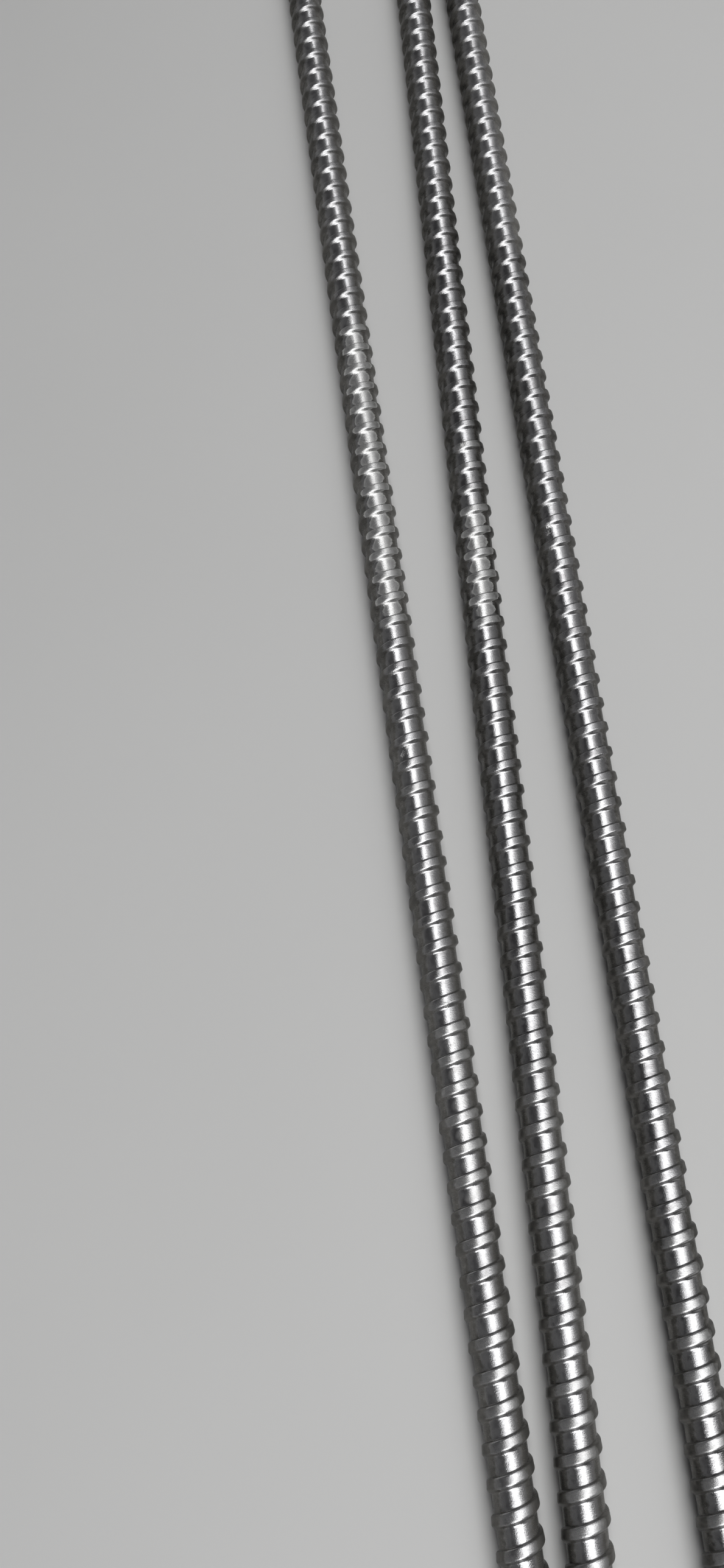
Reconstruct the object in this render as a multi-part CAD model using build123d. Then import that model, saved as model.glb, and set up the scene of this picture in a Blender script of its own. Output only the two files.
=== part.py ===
from build123d import *

import os
from math import asin, degrees

# Three loose steel tie bars that lie side by side on a level floor.
# Each one is a single rolled piece: a round core with one coarse rib wound all
# the way round and along it as a right-hand thread. The rib is fine relief and is
# not cut here. Each bar is the plain round envelope that its rib crests touch,
# which is what the bar lies on and what a plate or sleeve has to pass over.
# The bars run along +Y, away from the viewer, with +X to the right and +Z up.
# The near ends are the ones towards the viewer.

# Driving sizes of a bar, in millimetres

BAR_DIAMETER = 16.2      # over the rib crests
BAR_LENGTH = 750.0       # a stock length that such bars are sold in
END_CHAMFER = 0.6        # burr taken off each sawn end

# How the bars lie, in millimetres: clear gaps between neighbours at their ends,
# how far the middle bar's far end lies to the right of its near end,
# and how far the outer bars are pushed along beyond the middle one

LEFT_GAP_NEAR = 2.2
LEFT_GAP_FAR = 38.2
RIGHT_GAP_NEAR = 27.6
RIGHT_GAP_FAR = 5.6
MIDDLE_SWAY = 19.4
LEFT_BAR_AHEAD = 5.0
RIGHT_BAR_BEHIND = 4.0


def sawn_bar():
    """One bar about the origin, lying along Y, with both ends sawn square."""
    section = Plane.XZ * Circle(BAR_DIAMETER / 2)
    bar = extrude(section, BAR_LENGTH / 2, both=True)
    return chamfer(bar.edges().filter_by(GeomType.CIRCLE), END_CHAMFER)


def laid_bar(near_x, far_x, ahead):
    """A bar that lies on the floor with its end centres at these two places."""
    turn = degrees(asin((near_x - far_x) / BAR_LENGTH))
    place = Pos((near_x + far_x) / 2, ahead, BAR_DIAMETER / 2)
    return place * Rot(0, 0, turn) * sawn_bar()


def laid_bars():
    """The three bars by name, each spaced from the middle one at both its ends."""
    near, far = -MIDDLE_SWAY / 2, MIDDLE_SWAY / 2
    to_left = near - BAR_DIAMETER - LEFT_GAP_NEAR, far - BAR_DIAMETER - LEFT_GAP_FAR
    to_right = near + BAR_DIAMETER + RIGHT_GAP_NEAR, far + BAR_DIAMETER + RIGHT_GAP_FAR
    return {
        "bar_left": laid_bar(*to_left, LEFT_BAR_AHEAD),
        "bar_middle": laid_bar(near, far, 0),
        "bar_right": laid_bar(*to_right, -RIGHT_BAR_BEHIND),
    }


def centred_on_floor(bars):
    """The bars moved together so that the middle of their footprint is the origin."""
    middle = Compound(list(bars.values())).bounding_box().center()
    move = Pos(-middle.X, -middle.Y, 0)
    return {name: move * bar for name, bar in bars.items()}


os.makedirs("parts", exist_ok=True)
for name, bar in centred_on_floor(laid_bars()).items():
    export_step(bar, f"parts/{name}.step")
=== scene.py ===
# %% [markdown]
# Three loose steel tie bars, dressed for a picture.
# Each bar is one rolled piece of bright steel with a single coarse rib wound round it
# as a right-hand thread, so that a nut can be run on anywhere along it. The packed
# model holds each bar as a plain round envelope at its real size and place, and this
# script gives every bar its wound rib, its sawn ends and its worn steel skin. Nothing
# here moves a bar: the frame is read first and everything else is built on it.

# %% Load the frame
import math
import random

import bmesh
import bpy
import numpy as np
from mathutils import Matrix, Vector


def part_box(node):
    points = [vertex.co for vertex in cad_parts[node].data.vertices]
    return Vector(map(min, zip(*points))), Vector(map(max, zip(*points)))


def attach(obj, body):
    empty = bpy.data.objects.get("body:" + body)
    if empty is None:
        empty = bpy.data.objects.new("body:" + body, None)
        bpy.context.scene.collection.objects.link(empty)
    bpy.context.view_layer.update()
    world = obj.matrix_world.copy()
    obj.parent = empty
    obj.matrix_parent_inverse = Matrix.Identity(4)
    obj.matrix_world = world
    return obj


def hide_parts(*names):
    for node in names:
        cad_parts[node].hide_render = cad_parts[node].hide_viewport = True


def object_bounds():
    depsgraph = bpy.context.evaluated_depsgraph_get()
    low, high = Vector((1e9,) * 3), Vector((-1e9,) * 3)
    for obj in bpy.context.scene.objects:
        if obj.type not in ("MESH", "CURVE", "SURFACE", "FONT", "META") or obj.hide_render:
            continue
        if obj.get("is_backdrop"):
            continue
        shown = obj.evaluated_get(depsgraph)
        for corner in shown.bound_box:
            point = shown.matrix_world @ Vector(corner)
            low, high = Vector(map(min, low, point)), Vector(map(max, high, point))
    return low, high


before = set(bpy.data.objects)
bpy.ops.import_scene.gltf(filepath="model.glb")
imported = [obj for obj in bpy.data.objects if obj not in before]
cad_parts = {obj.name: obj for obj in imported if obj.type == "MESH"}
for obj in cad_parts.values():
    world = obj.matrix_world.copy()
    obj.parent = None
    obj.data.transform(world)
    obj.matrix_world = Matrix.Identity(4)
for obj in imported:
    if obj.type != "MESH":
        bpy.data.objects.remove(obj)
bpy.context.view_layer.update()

MM = 0.001
BAR_NAMES = ["bar_left", "bar_middle", "bar_right"]

# %% [markdown]
# The camera comes first, because every later choice is judged through it. The picture
# looks steeply down from over the near half of the bars, with the camera turned in the
# hand, so that the bars fan towards the top left. Its place and its turn were worked out
# from how the rib's pitch and the bars' width shrink up the picture. The lens is that of
# a plain phone camera, about 27 mm on a 36 mm long side.

# %% Camera
CAMERA_PLACE = Vector((-0.0218, -0.2045, 0.4359))   # metres, in the bars' own frame
LOOK_LEFT = math.radians(10.95)                      # swing left from straight along +Y
LOOK_DOWN = math.radians(71.33)                      # below the horizon
LEAN = math.radians(-17.30)                          # turn about the line of sight
LENS_MM = 27.04
SENSOR_MM = 36.0
NEAREST_SEEN = 10 * MM

camera = bpy.data.objects.new("camera", bpy.data.cameras.new("camera"))
bpy.context.scene.collection.objects.link(camera)
camera.data.lens = LENS_MM
camera.data.sensor_width = SENSOR_MM
camera.data.clip_start = NEAREST_SEEN
aim = Matrix.Rotation(LOOK_LEFT, 4, "Z") @ Matrix.Rotation(math.pi / 2 - LOOK_DOWN, 4, "X")
camera.matrix_world = Matrix.Translation(CAMERA_PLACE) @ aim @ Matrix.Rotation(LEAN, 4, "Z")
bpy.context.scene.camera = camera
print("camera", round(CAMERA_PLACE.z / MM), "mm above the floor")

# %% [markdown]
# The rib is a low trapezium with rounded corners, and its two sides differ a little, as
# the rolls press one side harder than the other. The near side runs up gently, with a
# wide hollow at its foot that catches the light, the top falls slightly towards the far
# side, and the far side drops steeply. The outline below is a walk over one pitch: it
# starts where the rib rises and is made of arcs, each of which turns the path to a new
# slope, with straight flanks between them. The two flanks are as long as they must be
# to reach the rib's height and to come down to the core again. Each point also carries
# how much dirt and painted shade it gets low on the rib's sides, and whether it lies at
# an edge or in the middle of a top or a valley.

# %% One pitch of the outline
PITCH = 10.0 * MM
RIB_HEIGHT = 1.3 * MM
TOP_WIDTH = 2.0 * MM
TOP_FALL = math.radians(5.0)
NEAR_SLOPE, NEAR_FOOT, NEAR_SHOULDER = math.radians(49.0), 1.1 * MM, 1.0 * MM
FAR_SLOPE, FAR_FOOT, FAR_SHOULDER = math.radians(66.0), 0.3 * MM, 0.8 * MM
NEAR_FOOT_STEPS, NEAR_SHOULDER_STEPS = 3, 5
FAR_FOOT_STEPS, FAR_SHOULDER_STEPS = 2, 4
# dirt and painted shade darken the steel low on both sides of the rib, at its feet
LOW_GRIME_AND_SHADE = 0.4              # how dirty the steel is low on both sides of the rib
AT_EDGE, IN_MIDDLE = 1, 0    # where a point lies on a top or in a valley


def arc(radius, slope_from, slope_to, steps):
    """(along, up) from the start of an arc to each of its steps; slopes down are negative."""
    bend = 1 if slope_to > slope_from else -1
    slopes = [slope_from + (slope_to - slope_from) * step / steps for step in range(steps + 1)]
    return [(bend * radius * (math.sin(slope) - math.sin(slope_from)),
             bend * radius * (math.cos(slope_from) - math.cos(slope))) for slope in slopes]


def rib_outline():
    """Points of one pitch as (along the bar, out from the core, dirt and painted shade, aside)."""
    near_rise = RIB_HEIGHT - (NEAR_FOOT + NEAR_SHOULDER) * (1 - math.cos(NEAR_SLOPE))
    top_end = RIB_HEIGHT - NEAR_SHOULDER * (1 - math.cos(TOP_FALL)) - TOP_WIDTH * math.tan(TOP_FALL)
    far_fall = (top_end - FAR_FOOT * (1 - math.cos(FAR_SLOPE))
                - FAR_SHOULDER * (math.cos(TOP_FALL) - math.cos(FAR_SLOPE)))
    near_flank = (near_rise / math.tan(NEAR_SLOPE), near_rise)
    half_top = (TOP_WIDTH / 2, -TOP_WIDTH / 2 * math.tan(TOP_FALL))
    far_flank = (far_fall / math.tan(FAR_SLOPE), -far_fall)
    near_foot = arc(NEAR_FOOT, 0, NEAR_SLOPE, NEAR_FOOT_STEPS)
    near_shoulder = arc(NEAR_SHOULDER, NEAR_SLOPE, -TOP_FALL, NEAR_SHOULDER_STEPS)
    far_shoulder = arc(FAR_SHOULDER, -TOP_FALL, -FAR_SLOPE, FAR_SHOULDER_STEPS)
    far_foot = arc(FAR_FOOT, -FAR_SLOPE, 0, FAR_FOOT_STEPS)
    some = LOW_GRIME_AND_SHADE / 2
    walk = [(near_foot, (0, 0, some, LOW_GRIME_AND_SHADE), AT_EDGE, near_flank),
            (near_shoulder, (LOW_GRIME_AND_SHADE, some, 0, 0, 0, 0), AT_EDGE, half_top),
            ([(0.0, 0.0)], (0,), IN_MIDDLE, half_top),
            (far_shoulder, (0, 0, 0, some, LOW_GRIME_AND_SHADE), AT_EDGE, far_flank),
            (far_foot, (LOW_GRIME_AND_SHADE, LOW_GRIME_AND_SHADE, 0), AT_EDGE, (0.0, 0.0))]
    points, along, up = [], 0.0, 0.0
    for steps, grime_and_shade_steps, aside, (run, rise) in walk:
        points += [(along + ahead, up + climb, grime_and_shade, aside)
                   for (ahead, climb), grime_and_shade in zip(steps, grime_and_shade_steps)]
        along += steps[-1][0] + run
        up += steps[-1][1] + rise
    return points + [((along + PITCH) / 2, 0.0, 0.0, IN_MIDDLE)]


outline = rib_outline()
foot_width = outline[-2][0] - outline[0][0]
print(len(outline), "points for each pitch, the rib is", round(foot_width / MM, 2), "mm wide at its foot")

# %% [markdown]
# Not all of a bar looks alike. Here and there a spill has dried on its upper side and
# left a thin grey haze with a paler rim. Some stretches are dustier than others, most of
# all on their right, where the dust's colour also stands in as painted light, and a few
# small scuffs catch the light. They are told by where they lie, so that they stay in
# place when the finish is changed: each hazed or dusty stretch has its two ends and its
# thickness, and each scuff has its distance along the bar and its turn from the top in
# degrees. Distances are in millimetres from the bar's middle.

# %% Worn places
HAZED = {"bar_left": [(-300, -250, 0.35), (-240, -150, 0.6), (-90, -60, 0.3), (-12, 148, 1.0)],
         "bar_middle": [(-330, -258, 0.45), (-250, -160, 0.3), (-12, 58, 1.0), (58, 90, 0.35)],
         "bar_right": [(-340, -215, 0.4)]}
# dusty stretches, whose colour also paints light on the right side of each bar
DUSTED_AND_LIT = {"bar_left": [(-400, 400, 0.45)],
          "bar_middle": [(-400, -170, 0.45), (200, 400, 0.4)],
          "bar_right": [(170, 400, 0.6)]}
SCUFFED = {"bar_left": [(-168, -8), (-155, 5), (-60, -25), (-57, -5)],
           "bar_middle": [(76, -6)],
           "bar_right": [(35, -27), (38, -20), (47, -4), (-58, 12)]}
STRETCH_FADE = 14.0          # millimetres over which a hazed or dusty stretch begins and ends
SCUFF_REACH = 1.4            # millimetres from its middle at which a scuff has lost four tenths


def thickness_of(stretches, along):
    """How thick a coat lies at each distance in mm, from 0 for none to 1."""
    share = np.zeros_like(along)
    for start, end, thickness in stretches:
        inside = np.minimum(along - start, end - along) / STRETCH_FADE
        share = np.maximum(share, thickness * np.clip(inside, 0, 1))
    return share


def scuffed(name, along, angle, radius):
    """How near each point lies to a scuff, from 0 to 1, for distances in mm."""
    share = np.zeros(np.broadcast(along, angle).shape)
    for place, degrees in SCUFFED[name]:
        turn = (angle - math.radians(degrees) + math.pi) % (2 * math.pi) - math.pi
        far = (along - place) ** 2 + (turn * radius) ** 2
        share = np.maximum(share, np.exp(-far / (2 * SCUFF_REACH ** 2)))
    return share


print("hazed, dusted, scuffed places:",
      {name: (len(HAZED[name]), len(DUSTED_AND_LIT[name]), len(SCUFFED[name])) for name in BAR_NAMES})

# %% [markdown]
# Winding the outline is what a screw does: each step round the bar carries it a little
# further along, and after one full turn it has moved by exactly one pitch and meets
# itself. The Screw modifier can do this, but working the grid out directly also leaves
# room to let the crest waver by a few hundredths of a millimetre, as rolled steel does,
# and to note on every point where it lies, which the steel's finish uses later. To
# someone who looks along the bar, the steps go round clockwise as they go away, and that
# is what makes the thread right-handed.

# %% Winding the rib
STEPS_ROUND = 64
SPARE_TURNS = 2
CREST_WAVER = 0.03 * MM
WAVES = 5                    # how many waves make up the waver
WAVE_RATES = (0.7, 2.9)      # half waves in one turn of the rib, from the slowest to the fastest


def waver(turns, seed):
    """A slow, smooth unevenness along the rib, between about -1 and 1."""
    draw = random.Random(seed)
    waves = [(draw.uniform(*WAVE_RATES), draw.uniform(0, 2 * math.pi)) for _ in range(WAVES)]
    return sum(np.sin(rate * turns * math.pi + shift) for rate, shift in waves) / WAVES


def wound_faces(rows, rows_per_turn):
    """Four-sided faces of the grid; the last step of a turn joins the first of the next."""
    row = np.arange(rows - 1)
    column = np.arange(STEPS_ROUND - 1)
    here = (row[:, None] * STEPS_ROUND + column[None, :]).ravel()
    inner = np.stack([here, here + STEPS_ROUND, here + STEPS_ROUND + 1, here + 1], -1)
    last = row[:-rows_per_turn] * STEPS_ROUND + STEPS_ROUND - 1
    over = (row[:-rows_per_turn] + rows_per_turn) * STEPS_ROUND
    seam = np.stack([last, last + STEPS_ROUND, over + STEPS_ROUND, over], -1)
    return np.concatenate([inner, seam])


def wound_grid(name, radius, length, start_turn, seed):
    """Points, faces and marks of a ribbed bar along Y, a little longer than length."""
    count = len(outline)
    turns = math.ceil(length / PITCH) + 2 * SPARE_TURNS
    row = np.arange(turns * count)
    column = np.arange(STEPS_ROUND)
    along_one, out_one, grime_and_shade_one, aside_one = (np.array(values, float) for values in zip(*outline))
    along = along_one[row % count] + PITCH * (row // count)
    along = along[:, None] + PITCH * column[None, :] / STEPS_ROUND
    along = along + PITCH * start_turn - turns * PITCH / 2
    angle = 2 * math.pi * column / STEPS_ROUND
    lift = 1 + CREST_WAVER / RIB_HEIGHT * waver(along / PITCH, seed)
    out = radius - RIB_HEIGHT + out_one[row % count][:, None] * np.minimum(lift, 1.0)
    points = np.stack([out * np.sin(angle), along, out * np.cos(angle)], -1).reshape(-1, 3)
    marks = {"grime_and_shade": np.repeat(grime_and_shade_one[row % count], STEPS_ROUND),
             "aside": np.repeat(aside_one[row % count], STEPS_ROUND),
             "crest": np.repeat(out_one[row % count] / RIB_HEIGHT, STEPS_ROUND),
             "upness": np.tile(np.cos(angle), len(row)),
             "rightness": np.tile(np.sin(angle), len(row)),
             "haze": thickness_of(HAZED[name], along / MM).ravel(),
             "dust": thickness_of(DUSTED_AND_LIT[name], along / MM).ravel(),
             "scuff": scuffed(name, along / MM, angle[None, :], radius / MM).ravel()}
    return points, wound_faces(len(row), count), marks


print("one turn of the rib has", STEPS_ROUND * len(outline), "points")

# %% [markdown]
# A real bar is wound endless and sawn to length, so the mesh is made the same way: it
# is wound too long, cut by a plane at each end, and the open edge is drawn in a little
# to the end face, as the file leaves it after the burr is taken off. The cut runs
# through the rib wherever it happens to fall, which gives the sawn end its true
# outline, fuller on one side.

# %% Sawing a bar to length
END_CHAMFER = 0.6 * MM
SHARP_ANGLE = math.radians(38.0)
ON_THE_CUT = 0.0001 * MM     # how near the cut a point lies that is on it
SAWN_FINISH = 1              # the place of the sawn steel in a bar's list of finishes


def saw_end(mesh, length, side, radius):
    """Cuts the wound mesh at one end and closes it with a filed edge and a flat face."""
    cut = Vector((0, side * (length / 2 - END_CHAMFER), 0))
    parts = mesh.verts[:] + mesh.edges[:] + mesh.faces[:]
    bmesh.ops.bisect_plane(mesh, geom=parts, plane_co=cut, plane_no=(0, side, 0), clear_outer=True)
    open_edges = [edge for edge in mesh.edges
                  if edge.is_boundary and abs(edge.verts[0].co.y - cut.y) < ON_THE_CUT]
    drawn = bmesh.ops.extrude_edge_only(mesh, edges=open_edges)["geom"]
    for point in (part for part in drawn if isinstance(part, bmesh.types.BMVert)):
        point.co.x *= 1 - END_CHAMFER / radius
        point.co.z *= 1 - END_CHAMFER / radius
        point.co.y = side * length / 2
    rim = [part for part in drawn if isinstance(part, bmesh.types.BMEdge)]
    for face in bmesh.ops.holes_fill(mesh, edges=rim, sides=0)["faces"]:
        face.material_index = SAWN_FINISH
        face.smooth = False


def bar_mesh(name, radius, length, start_turn, seed):
    """The finished mesh of one bar about its own middle, lying along Y."""
    points, faces, marks = wound_grid(name, radius, length, start_turn, seed)
    data = bpy.data.meshes.new(name + "_ribbed")
    data.from_pydata(points, [], faces.tolist())
    for label, values in marks.items():
        data.attributes.new(label, "FLOAT", "POINT").data.foreach_set("value", values)
    mesh = bmesh.new()
    mesh.from_mesh(data)
    for face in mesh.faces:
        face.smooth = True
    for side in (-1, 1):
        saw_end(mesh, length, side, radius)
    bmesh.ops.recalc_face_normals(mesh, faces=mesh.faces[:])
    mesh.to_mesh(data)
    mesh.free()
    data.set_sharp_from_angle(angle=SHARP_ANGLE)
    return data


# %% [markdown]
# Each bar goes exactly where its solid lies. The solid's points fall into a near ring
# and a far ring, whose middles are the two ends of the bar's centre line, and its
# radius is half its height. Where the rib starts on each bar was read off the picture,
# as a share of a turn, so the ribs stand where they do there.

# %% Laying the bars
RIB_START = {"bar_left": 0.35, "bar_middle": 0.30, "bar_right": -0.25}


def centre_line(node):
    """(near end, far end) of a round solid's centre line, from its own points."""
    points = np.array([node.matrix_world @ vertex.co for vertex in node.data.vertices])
    far = points[:, 1] > points[:, 1].mean()
    near_middle, far_middle = points[~far].mean(0), points[far].mean(0)
    direction = (far_middle - near_middle) / np.linalg.norm(far_middle - near_middle)
    reach = points @ direction
    return [near_middle + direction * (end - near_middle @ direction)
            for end in (reach.min(), reach.max())]


bars = {}
for number, name in enumerate(BAR_NAMES):
    near, far = (Vector(end) for end in centre_line(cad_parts[name]))
    low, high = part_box(name)
    radius = (high[2] - low[2]) / 2
    data = bar_mesh(name, radius, (far - near).length, RIB_START[name], number)
    bar = bpy.data.objects.new(name + "_ribbed", data)
    bpy.context.scene.collection.objects.link(bar)
    swing = math.atan2(near.x - far.x, far.y - near.y)
    bar.matrix_world = Matrix.Translation((near + far) / 2) @ Matrix.Rotation(swing, 4, "Z")
    even = bar.modifiers.new("even_flats", "WEIGHTED_NORMAL")
    even.keep_sharp = True
    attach(bar, "root")
    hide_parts(name)
    bars[name] = bar
    triangles = sum(len(polygon.vertices) - 2 for polygon in data.polygons)
    print(name, "radius", round(radius / MM, 3), "length", round((far - near).length / MM, 2),
          "swing", round(math.degrees(swing), 3), "triangles", triangles)

# %% [markdown]
# Shader maths is easier to read as sums than as boxes and wires. This small class holds
# one output socket: adding, multiplying or subtracting wires makes the Math nodes, and
# one method makes any other node from its settings and its sockets. Feeding a node gives
# each of its sockets a plain value or the wire that ends in it.

# %% Sums for shaders
MIX_FIRST, MIX_SECOND, MIX_RESULT = 6, 7, 2   # the colour sockets of a Mix node


class Wire:
    """One output socket of a node tree."""

    def __init__(self, tree, socket=None):
        self.tree = tree
        self.socket = socket

    def node(self, kind, settings=None, sockets=None, out=0):
        """A new node: its settings first, then the values or wires of its sockets."""
        made = self.tree.nodes.new("ShaderNode" + kind)
        for key, value in (settings or {}).items():
            setattr(made, key, value)
        feed(made, sockets or {})
        return Wire(self.tree, made.outputs[out])

    def maths(self, operation, first, second):
        """A Math node on two wires, or on a wire and a number."""
        return self.node("Math", {"operation": operation}, {0: first, 1: second})

    def __add__(self, other):
        return self.maths("ADD", self, other)

    def __sub__(self, other):
        return self.maths("SUBTRACT", self, other)

    def __rsub__(self, other):
        return self.maths("SUBTRACT", other, self)

    def __mul__(self, other):
        return self.maths("MULTIPLY", self, other)

    def __truediv__(self, other):
        return self.maths("DIVIDE", self, other)

    def __rtruediv__(self, other):
        return self.maths("DIVIDE", other, self)

    def __pow__(self, other):
        return self.maths("POWER", self, other)

    __radd__ = __add__
    __rmul__ = __mul__

    def at_least(self, other):
        """The larger of the two at each point."""
        return self.maths("MAXIMUM", self, other)

    def between(self, low, high):
        """0 below low, 1 above high and an even slope from one to the other."""
        return self.node("MapRange", {}, {"Value": self, "From Min": low, "From Max": high})

    def mixed(self, first, second):
        """first where this wire is 0, second where it is 1, for colours."""
        return self.node("Mix", {"data_type": "RGBA"}, {0: self, MIX_FIRST: first, MIX_SECOND: second},
                         MIX_RESULT)


def feed(node, values):
    """Gives each named socket of a node its value, or the wire that ends in it."""
    for key, value in values.items():
        if isinstance(value, Wire):
            value.tree.links.new(value.socket, node.inputs[key])
        else:
            node.inputs[key].default_value = value


# %% [markdown]
# Every finish starts in the same way, as an empty material with one shader. Three small
# things are needed again and again: noise, the place of a point, and one coordinate of
# that place. Places are told in metres from the middle of the object, so that a finish
# moves with its piece.

# %% Starting a finish


def new_finish(name):
    """An empty material, the maker of its wires and its principled shader."""
    material = bpy.data.materials.new(name)
    material.use_nodes = True
    return material, Wire(material.node_tree), material.node_tree.nodes["Principled BSDF"]


def noise(make, place, scale, detail, roughness):
    """Soft noise about one half; a larger scale makes it finer."""
    return make.node("TexNoise", {}, {"Vector": place, "Scale": scale, "Detail": detail,
                                      "Roughness": roughness})


def axis(place, letter):
    """One coordinate of a place."""
    return place.node("SeparateXYZ", {}, {0: place}, letter)


def own_place(make):
    """The place of each point in its own object, in metres."""
    return make.node("TexCoord", out="Object")


# %% [markdown]
# Bright rolled steel is a dark mirror: it has almost no colour of its own and shows
# what stands round it. What makes it look like steel and not like chrome is small
# unevenness, and four patterns give that: wide soft clouds, smudges of mill oil, a fine
# grain that breaks the edge of every reflection, and faint strokes round the bar. They
# are kept by name beside the marks that were noted on the rib's points, so that a mix
# of several of them can be told as names with weights.

# %% Patterns in the steel
PATTERNS = {"clouds": (110.0, 4.0, 0.6),     # scale, detail and roughness of the noise
            "smudge": (420.0, 5.0, 0.65),
            "grain": (2400.0, 3.0, 0.6)}
STROKES = (3000.0, 3.0, 0.5)
STROKES_SQUEEZE = (0.2, 1.0, 0.2)            # draws a pattern out round the bar, but not along it
MARKS = ("grime_and_shade", "aside", "crest", "upness", "rightness", "haze", "dust", "scuff")


def steel_wires(make):
    """The steel's place in metres, its patterns and the marks of its points, by name."""
    place = own_place(make)
    squeezed = make.node("VectorMath", {"operation": "MULTIPLY"}, {0: place, 1: STROKES_SQUEEZE})
    steel = {label: make.node("Attribute", {"attribute_name": label}, out="Fac") for label in MARKS}
    steel["to_right"], steel["up"] = axis(place, "X"), axis(place, "Z")
    for name, pattern in PATTERNS.items():
        steel[name] = noise(make, place, *pattern)
    steel["strokes"] = noise(make, squeezed, *STROKES)
    return steel


def weighted(steel, weights):
    """The sum of the named wires, each times its weight."""
    return sum(weight * steel[name] for name, weight in weights.items())


def uneven(steel, weights):
    """The same sum about 0 instead of about one half, for patterns."""
    return weighted(steel, weights) - 0.5 * sum(weights.values())


# %% [markdown]
# The top of a bar is rubbed bright, with the oil's smudges on it. Down the sides the colour
# is darkened as painted shade, laid on as a dark rolling film that is also duller and less
# metallic. The shade is paler in places, and in the dusty stretches painted light lightens
# it towards the right. The border between the two is ragged, and it lies higher where
# the rib's feet carry dirt and painted shade.

# %% Rubbed top and sides darkened by painted shade
RUBBED_STEEL = (0.57, 0.57, 0.58, 1.0)
OILED_STEEL = (0.40, 0.395, 0.40, 1.0)
OILY, OILY_RANGE = {"clouds": 0.6, "smudge": 0.4}, (0.45, 0.62)    # from rubbed to oiled
# painted shade down the sides of each bar, dark and paler, in the colour of a rolling film
DARK_SIDE_SHADE = (0.067, 0.065, 0.060, 1.0)
PALE_SIDE_SHADE = (0.160, 0.155, 0.145, 1.0)
PALER, PALER_RANGE = {"clouds": 0.5, "smudge": 0.5}, (0.42, 0.62)  # from dark to pale
# dust colour, which also serves as painted light on the right sides
DUST_AND_PAINTED_LIGHT = (0.25, 0.244, 0.229, 1.0)
DUST_AND_LIGHT_ON_LEFT = 0.35          # the share of the right side's dust that lies on the left
DUST_AND_LIGHT_TURN = (-0.6, 0.4)      # from left to right, as shares of the radius
SIDE_SHADE_RANGE = (0.72, 0.96)    # heights over the middle, as shares of the radius
SIDE_SHADE_RAGGED = {"smudge": 0.30, "clouds": 0.20, "grain": 0.12}
FOOT_LIFTS_SIDE_SHADE = 0.22


def bare_skin(steel):
    """The colour of the rubbed steel with its smudges of oil."""
    return weighted(steel, OILY).between(*OILY_RANGE).mixed(RUBBED_STEEL, OILED_STEEL)


def dusty(steel):
    """How much dust and painted light lie on the sides, more on the right than on the left."""
    rightward = steel["rightness"].between(*DUST_AND_LIGHT_TURN)
    return steel["dust"] * (DUST_AND_LIGHT_ON_LEFT + (1.0 - DUST_AND_LIGHT_ON_LEFT) * rightward)


def side_shade_coat(steel):
    """(where painted shade darkens the sides under a film, from 0 on top to 1 down the sides, and its
    colour).
    """
    border = steel["upness"] - FOOT_LIFTS_SIDE_SHADE * steel["grime_and_shade"] + uneven(steel, SIDE_SHADE_RAGGED)
    side_shade_skin = weighted(steel, PALER).between(*PALER_RANGE).mixed(DARK_SIDE_SHADE, PALE_SIDE_SHADE)
    return 1.0 - border.between(*SIDE_SHADE_RANGE), steel["dusty"].mixed(side_shade_skin, DUST_AND_PAINTED_LIGHT)


# %% [markdown]
# The dried spill fills whatever stood above its level, which lies a little lower on the
# right. On each top and in each valley it ends in a rounded tongue with a paler rim, and
# where it is thin only a veil is left, and that only high up. It is worked out as a
# depth in millimetres, which is 0 at the spill's edge and grows towards its inside.

# %% Dried spill
DRIED_HAZE = (0.58, 0.58, 0.57, 1.0)
HAZE_RIM = (0.75, 0.75, 0.735, 1.0)
HAZED_ABOVE = 5.2                    # millimetres above the middle of the bar
HAZE_TILT = 0.14                     # how far the level falls for each millimetre to the right
END_RISE, END_THICKNESS = 2.4, 0.3   # how far it rises where a stretch ends, thinner than this
THIN_RISE = {"on a top": 0.6, "in a valley": 2.2}
FOOT_RISE = 2.2
ROUNDING = {"on a top": 0.3, "in a valley": 0.8}
SPILL_WAVE = {"smudge": 1.6, "clouds": 1.6}
RIM_RANGE = (0.2, 0.8)               # depths between which the rim passes into the haze
EDGE_WIDTH, THIN_EDGE_WIDTH = 0.15, 2.0
RIM_COVER, HAZE_COVER = 0.95, 0.42   # the shares of the steel that each of them hides
SMUDGED_COVER, SMUDGED_RANGE = 0.5, (0.35, 0.65)
CREST_LOSS, THIN_LOSS = 0.12, 0.6    # how much less is hidden on a crest, and where it is thin


def from_valley_to_top(steel, values):
    """A value that changes evenly with the height on the rib, from the valley to the top."""
    return values["in a valley"] + (values["on a top"] - values["in a valley"]) * steel["crest"]


def spill_depth(steel):
    """How many millimetres inside the spill's edge a point lies; less than 0 is outside."""
    level = (steel["up"] + HAZE_TILT * steel["to_right"]) * (1 / MM)
    rise = (END_RISE * steel["haze"].between(END_THICKNESS, 0.0)
            + (1.0 - steel["haze"]) * from_valley_to_top(steel, THIN_RISE)
            + FOOT_RISE * steel["grime_and_shade"]
            + steel["aside"] * steel["aside"] * from_valley_to_top(steel, ROUNDING))
    return level - HAZED_ABOVE - rise + uneven(steel, SPILL_WAVE)


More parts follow.
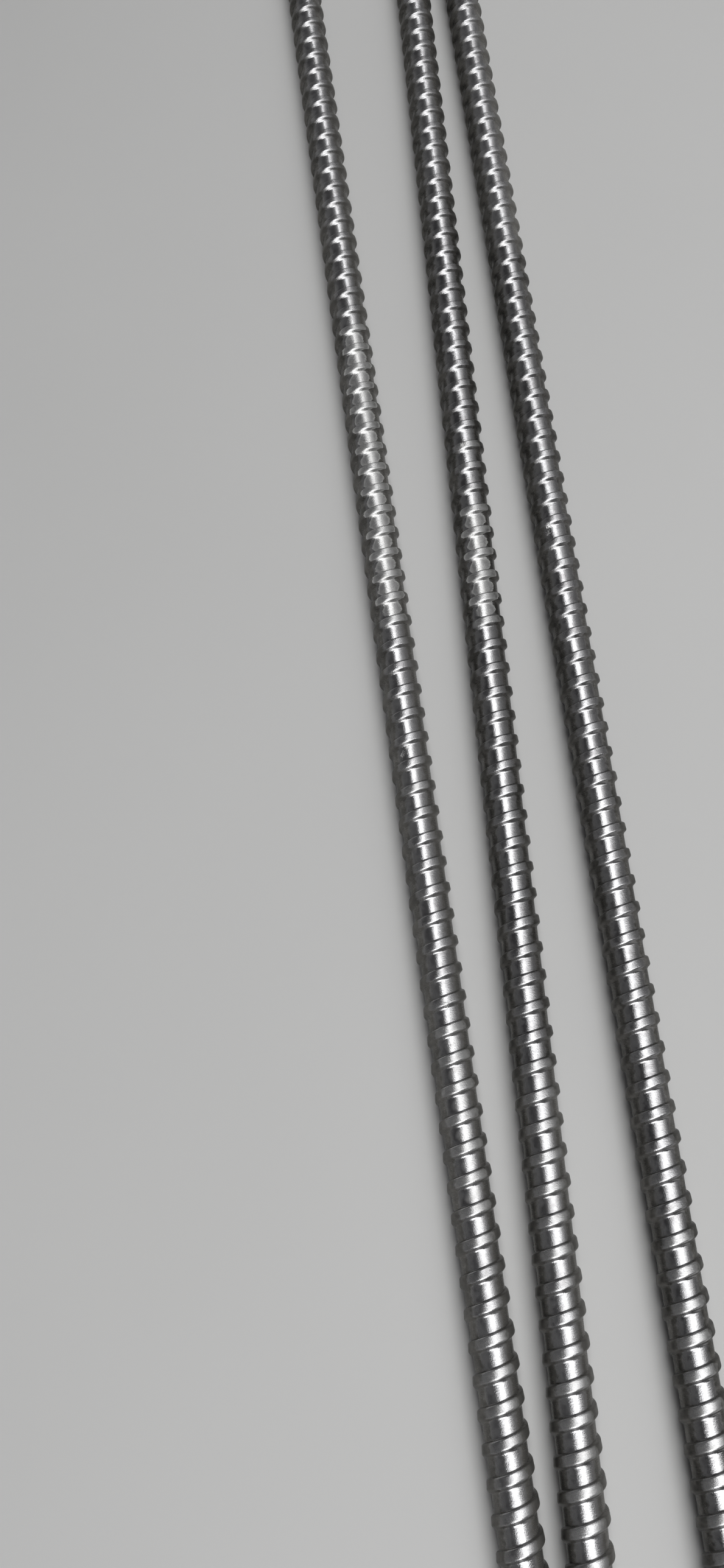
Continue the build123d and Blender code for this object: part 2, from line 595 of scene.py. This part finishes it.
def spill_coat(steel):
    """(how much the dried spill covers, and its colour)."""
    depth = spill_depth(steel)
    inside = depth.between(*RIM_RANGE)
    thin = 1.0 - steel["haze"]
    middle = (HAZE_COVER + SMUDGED_COVER * steel["smudge"].between(*SMUDGED_RANGE)
              - CREST_LOSS * steel["crest"])
    cover = RIM_COVER + inside * (middle - RIM_COVER)
    edge = depth.between(0.0, EDGE_WIDTH + THIN_EDGE_WIDTH * thin)
    return edge * (1.0 - THIN_LOSS * thin) * cover, inside.mixed(HAZE_RIM, DRIED_HAZE)


# %% [markdown]
# Dirt and painted shade darken the rib's two feet, thicker in the smudges, and the few
# scuffs are bare, rough metal with a torn outline.

# %% Dirt and painted shade at the feet, and scuffs
# the dark colour of dirt and painted shade along the rib's feet
FOOT_DIRT_AND_SHADE = (0.04, 0.038, 0.036, 1.0)
LEAST_DIRT, SMUDGED_DIRT, DIRT_RANGE = 0.35, 0.5, (0.35, 0.7)
SCUFFED_STEEL = (0.85, 0.85, 0.84, 1.0)
SCUFF_TORN = {"grain": 1.6, "smudge": 1.2}
SCUFF_RANGE = (0.80, 0.86)


def foot_dirt_and_shade_coat(steel):
    """(how much the dirt and painted shade at the rib's feet cover, and their colour)."""
    return steel["grime_and_shade"] * (LEAST_DIRT + SMUDGED_DIRT * steel["smudge"].between(*DIRT_RANGE)), FOOT_DIRT_AND_SHADE


def scuff_coat(steel):
    """(where the scuffs are, and their colour)."""
    return (steel["scuff"] + uneven(steel, SCUFF_TORN)).between(*SCUFF_RANGE), SCUFFED_STEEL


# %% [markdown]
# The skin is built up from the bare steel outwards: the film with the painted shade on the
# sides, the spill, the dirt with painted shade at the rib's feet, and the scuffs that cut
# through them all. Each coat also has its own say in how rough the surface is. The crest
# is duller, because the rolls and other bars have rubbed it, and film, dust and haze are
# less metallic than clean steel.

# %% Rolled steel
# the film and the foot dirt paint shade into the colour, and the dust in the film paints light
COATS = {"film_and_shade": side_shade_coat, "spill": spill_coat, "dirt_and_shade": foot_dirt_and_shade_coat, "torn": scuff_coat}
LEAST_ROUGH, CREST_ROUGH = 0.05, 0.10
ROUGH = {"smudge": 0.10, "strokes": 0.12, "film_and_shade": 0.10, "spill": 0.04, "dirt_and_shade": 0.12, "torn": 0.25}
RELIEF = {"grain": 0.7, "smudge": 0.6, "strokes": 0.45, "torn": -2.5}
RELIEF_STRENGTH, RELIEF_DEPTH = 0.7, 0.1 * MM
FILM_DULLS, DUST_DULLS, SPILL_METAL = 0.4, 0.16, 0.68    # how metallic the skin stays
EDGE_TINT = (0.5, 0.5, 0.5, 1.0)


def rolled_steel():
    """The rolled skin with all its coats."""
    material, make, shader = new_finish("rolled_steel")
    steel = steel_wires(make)
    steel["dusty"] = dusty(steel)
    skin = bare_skin(steel)
    for name, coat in COATS.items():
        steel[name], colour = coat(steel)
        skin = steel[name].mixed(skin, colour)
    rubbed = steel["crest"] * steel["crest"] * steel["crest"]
    clean_metal = (1.0 - FILM_DULLS * steel["film_and_shade"]) * (1.0 - DUST_DULLS * steel["dusty"])
    bump = make.node("Bump", {}, {"Strength": RELIEF_STRENGTH, "Distance": RELIEF_DEPTH,
                                  "Height": weighted(steel, RELIEF)})
    feed(shader, {"Base Color": skin,
                  "Roughness": LEAST_ROUGH + CREST_ROUGH * rubbed + weighted(steel, ROUGH),
                  "Metallic": (1.0 - steel["spill"]) * clean_metal + SPILL_METAL * steel["spill"],
                  "Specular Tint": EDGE_TINT, "Normal": bump})
    return material


# %% [markdown]
# The sawn ends are another surface: a saw leaves fine straight scores across the face,
# and the bare steel there is paler and duller than the rolled skin.

# %% Sawn faces
SAWN_STEEL = (0.50, 0.49, 0.47, 1.0)
SAWN_SHADE = (0.33, 0.31, 0.29, 1.0)
SCORES = {"Scale": 900.0, "Distortion": 7.0, "Detail": 4.0, "Detail Scale": 0.6}
SCORED_SHARE, SCORE_STRENGTH, SCORE_DEPTH = 0.4, 0.5, 0.1 * MM
PATCHES = (300.0, 4.0, 0.5)
SAWN_ROUGH, PATCHY_ROUGH = 0.35, 0.2


def sawn_steel():
    """The bare, scored steel of the sawn ends."""
    material, make, shader = new_finish("sawn_steel")
    place = own_place(make)
    scores = make.node("TexWave", {"bands_direction": "X"}, {"Vector": place} | SCORES)
    patches = noise(make, place, *PATCHES)
    shade = scores * SCORED_SHARE + patches * (1 - SCORED_SHARE)
    bump = make.node("Bump", {}, {"Strength": SCORE_STRENGTH, "Distance": SCORE_DEPTH, "Height": scores})
    feed(shader, {"Base Color": shade.mixed(SAWN_STEEL, SAWN_SHADE),
                  "Roughness": SAWN_ROUGH + PATCHY_ROUGH * patches, "Metallic": 1.0, "Normal": bump})
    return material


finishes = [rolled_steel(), sawn_steel()]
for bar in bars.values():
    for finish in finishes:
        bar.data.materials.append(finish)
print("finishes:", [(finish.name, len(finish.node_tree.nodes)) for finish in finishes], "with their nodes")

# %% [markdown]
# The floor is a plain pale sheet, far larger than the bars, so that no edge of it shows
# from any side. It only carries the bars' soft shadows. Far out, where the lamps no
# longer reach, it glows a little of itself, so that it stays pale as far as one can see.

# %% Floor
FLOOR_HALF = 12.0
FLOOR_PALE = (0.60, 0.60, 0.595, 1.0)
FLOOR_SHADE = (0.57, 0.57, 0.565, 1.0)
MOTTLE = (6.0, 6.0, 0.5)
FLOOR_ROUGH, FLOOR_SHEEN = 0.9, 0.2
NO_GLOW = (0.0, 0.0, 0.0, 1.0)
FAR_GLOW = (0.32, 0.32, 0.318, 1.0)
GLOW_RANGE = (1.0, 4.2)    # metres from the middle of the floor


def pale_floor():
    """A dull, pale, faintly mottled sheet."""
    material, make, shader = new_finish("pale_floor")
    place = own_place(make)
    mottle = noise(make, place, *MOTTLE)
    far_out = make.node("VectorMath", {"operation": "LENGTH"}, {0: place}, out="Value")
    feed(shader, {"Base Color": mottle.mixed(FLOOR_PALE, FLOOR_SHADE), "Roughness": FLOOR_ROUGH,
                  "Specular IOR Level": FLOOR_SHEEN, "Emission Strength": 1.0,
                  "Emission Color": far_out.between(*GLOW_RANGE).mixed(NO_GLOW, FAR_GLOW)})
    return material


floor_data = bpy.data.meshes.new("floor")
corners = [(x * FLOOR_HALF, y * FLOOR_HALF, 0) for x, y in ((-1, -1), (1, -1), (1, 1), (-1, 1))]
floor_data.from_pydata(corners, [], [(0, 1, 2, 3)])
floor_data.materials.append(pale_floor())
floor = bpy.data.objects.new("floor", floor_data)
bpy.context.scene.collection.objects.link(floor)
floor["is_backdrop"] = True
print("floor", 2 * FLOOR_HALF, "m square")

# %% [markdown]
# Polished steel shows its lights, so the lights are shaped for what they leave on it.
# Each is a flat soft box overhead with a cloth that shines unevenly, as if several
# panels were pinned to it. A place on the cloth is told in metres to the right and
# forwards, so that a panel is a product of edges, each of which comes or goes over a
# length of its own.

# %% Soft boxes
LAMP_HEIGHT = 1.5


def soft_box(name, left, right, back, front, brightness):
    """A flat lamp overhead that faces down, as bright to look at as brightness."""
    lamp = bpy.data.lights.new(name, "AREA")
    lamp.shape = "RECTANGLE"
    lamp.size, lamp.size_y = right - left, front - back
    lamp.energy = brightness * math.pi * lamp.size * lamp.size_y   # pi watts for each square metre
    box = bpy.data.objects.new(name, lamp)
    box.location = ((left + right) / 2, (back + front) / 2, LAMP_HEIGHT)
    box.visible_camera = False
    bpy.context.scene.collection.objects.link(box)
    print(name, "power", round(lamp.energy, 1), "W")
    return lamp


def cloth_of(lamp, left, back):
    """Wires for the place on a soft box's cloth, in metres to the right and forwards."""
    lamp.use_nodes = True
    spot = Wire(lamp.node_tree).node("NewGeometry", out="Parametric")
    return axis(spot, "X") * lamp.size + left, axis(spot, "Y") * lamp.size_y + back


def shine(lamp, share):
    """Makes a soft box's cloth shine by this share of its brightness."""
    feed(lamp.node_tree.nodes["Emission"], {"Color": share})


def comes(place, start, over):
    """0 up to the start, and 1 from as far past it as it comes over."""
    return (place - start).between(0.0, over)


def goes(place, end, over):
    """1 up to a stretch before the end, over which it goes, and 0 past the end."""
    return (end - place).between(0.0, over)


# %% [markdown]
# One box hangs behind the camera and lights the near sides of the ribs, which makes them
# stand out towards the far ends. Its left edge lies further right the further back it
# is, and its front part is a little dimmer.

# %% Back soft box
BACK_BRIGHTNESS = 4.3
BACK_LEFT_X, BACK_RIGHT_X = -0.38, 1.05
BACK_BACK_Y, BACK_FRONT_Y = -4.6, -0.75
BACK_SKEW = 0.15                     # metres to the right for each metre back
BACK_LEFT_FADE, BACK_RIGHT_FADE = 0.15, 0.35
BACK_FRONT_SHARE = 0.78
BACK_FULL_FROM, BACK_FULL_OVER = 1.0, 0.4    # metres back


def back_cloth(x, y):
    """How brightly the back box shines at each place on its cloth."""
    left_edge = comes(x - BACK_SKEW * (BACK_FRONT_Y - y), BACK_LEFT_X, BACK_LEFT_FADE)
    further_back = comes(0.0 - y, BACK_FULL_FROM, BACK_FULL_OVER)
    return (left_edge * goes(x, BACK_RIGHT_X, BACK_RIGHT_FADE)
            * (BACK_FRONT_SHARE + (1.0 - BACK_FRONT_SHARE) * further_back))


back = soft_box("back_soft_box", BACK_LEFT_X, BACK_RIGHT_X, BACK_BACK_Y, BACK_FRONT_Y, BACK_BRIGHTNESS)
shine(back, back_cloth(*cloth_of(back, BACK_LEFT_X, BACK_BACK_Y)))

# %% [markdown]
# The main box hangs over the bars and draws the bright streak along every one of them.
# It has a wide panel over the near part with a very soft left edge, a narrow strip over
# the middle and a dimmer panel further in front, which is brightest along its left edge,
# over a faint glow. Where two overlap, the brighter one counts, and each of the panels
# loses its light slowly towards the right. The left edge of the first two bends away to
# the right in front.

# %% Main soft box
BRIGHTNESS = 3.4
MAIN_LEFT_X, MAIN_RIGHT_X = -0.30, 4.2
MAIN_BACK_Y, MAIN_FRONT_Y = -0.75, 2.9
FALL = 2.5                                      # how steeply the light falls off to the right
BEND, BEND_FROM_Y = 0.9, 0.5                    # how the left edge bends away, and from where
SOFT_EDGE, NEAR_SOFTNESS = 0.25, 0.80           # its width, and how much wider it is near by
NEAR_SOFT_Y, NEAR_SOFT_OVER = 0.2, 0.5
NEAR_HALF_X, NEAR_END_Y, NEAR_FADE = 1.30, 0.45, 0.8     # where half is left, its end, its fade
STRIP_HALF_X, STRIP_END_Y, STRIP_FADE = 0.40, 1.20, 0.3
FRONT_SHARE, FRONT_HALF_X = 0.48, 1.10
FRONT_LEFT_X, FRONT_LEFT_FADE = 0.34, 0.08
FRONT_START_Y, FRONT_START_FADE, FRONT_END_FADE = 0.90, 0.35, 0.7
EDGE_SHARE, EDGE_RIGHT_X, EDGE_FADE = 1.25, 0.58, 0.2    # the brightest stretch, at its left edge
GLOW_SHARE, GLOW_LEFT_FADE = 0.045, 0.2
GLOW_START_Y, GLOW_START_FADE = 1.00, 0.4


def falling_off(x, half_x):
    """1 at the middle, and half of it at half_x to the right."""
    return 1.0 / (1.0 + (x.at_least(0.0) / half_x) ** FALL)


def main_cloth(x, y):
    """How brightly the main box shines at each place on its cloth."""
    ahead = (y - BEND_FROM_Y).at_least(0.0)
    softness = SOFT_EDGE + NEAR_SOFTNESS * goes(y, NEAR_SOFT_Y, NEAR_SOFT_OVER)
    left_edge = comes(x - BEND * ahead * ahead, MAIN_LEFT_X, softness)
    near_panel = left_edge * falling_off(x, NEAR_HALF_X) * goes(y, NEAR_END_Y, NEAR_FADE)
    strip = left_edge * falling_off(x, STRIP_HALF_X) * goes(y, STRIP_END_Y, STRIP_FADE)
    front_end = goes(y, MAIN_FRONT_Y, FRONT_END_FADE)
    across = FRONT_SHARE * falling_off(x, FRONT_HALF_X) + EDGE_SHARE * goes(x, EDGE_RIGHT_X, EDGE_FADE)
    front_panel = (comes(x, FRONT_LEFT_X, FRONT_LEFT_FADE) * across * front_end
                   * comes(y, FRONT_START_Y, FRONT_START_FADE))
    glow = (GLOW_SHARE * comes(x, MAIN_LEFT_X, GLOW_LEFT_FADE) * front_end
            * comes(y, GLOW_START_Y, GLOW_START_FADE))
    return near_panel.at_least(strip).at_least(front_panel).at_least(glow)


main = soft_box("main_soft_box", MAIN_LEFT_X, MAIN_RIGHT_X, MAIN_BACK_Y, MAIN_FRONT_Y, BRIGHTNESS)
shine(main, main_cloth(*cloth_of(main, MAIN_LEFT_X, MAIN_BACK_Y)))

# %% [markdown]
# The room itself is dim overhead and paler at the horizon, more so on the left, except
# behind the camera, where it is dark and draws the dark line beside each rib.

# %% Room
LEFT_HORIZON = (0.42, 0.42, 0.42, 1.0)
RIGHT_HORIZON = (0.10, 0.10, 0.10, 1.0)
BACK_HORIZON = (0.05, 0.05, 0.05, 1.0)
ROOM_OVERHEAD = (0.05, 0.05, 0.052, 1.0)
LEFT_TO_RIGHT, BACK_TO_SIDES, LOW_TO_HIGH = (-0.6, 0.4), (-0.95, -0.7), (0.0, 0.35)


def room_colour(make):
    """The room's colour in each direction."""
    sight = make.node("TexCoord", out="Generated")
    sides = axis(sight, "X").between(*LEFT_TO_RIGHT).mixed(LEFT_HORIZON, RIGHT_HORIZON)
    horizon = axis(sight, "Y").between(*BACK_TO_SIDES).mixed(BACK_HORIZON, sides)
    return axis(sight, "Z").between(*LOW_TO_HIGH).mixed(horizon, ROOM_OVERHEAD)


world = bpy.data.worlds.new("room")
world.use_nodes = True
bpy.context.scene.world = world
feed(world.node_tree.nodes["Background"], {"Color": room_colour(Wire(world.node_tree))})
bpy.context.scene.view_settings.view_transform = "Standard"
print("room:", len(world.node_tree.nodes), "nodes")

# %% [markdown]
# Last, the size of what was built is measured.

# %% Sizes and finish
bpy.context.view_layer.update()
low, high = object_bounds()
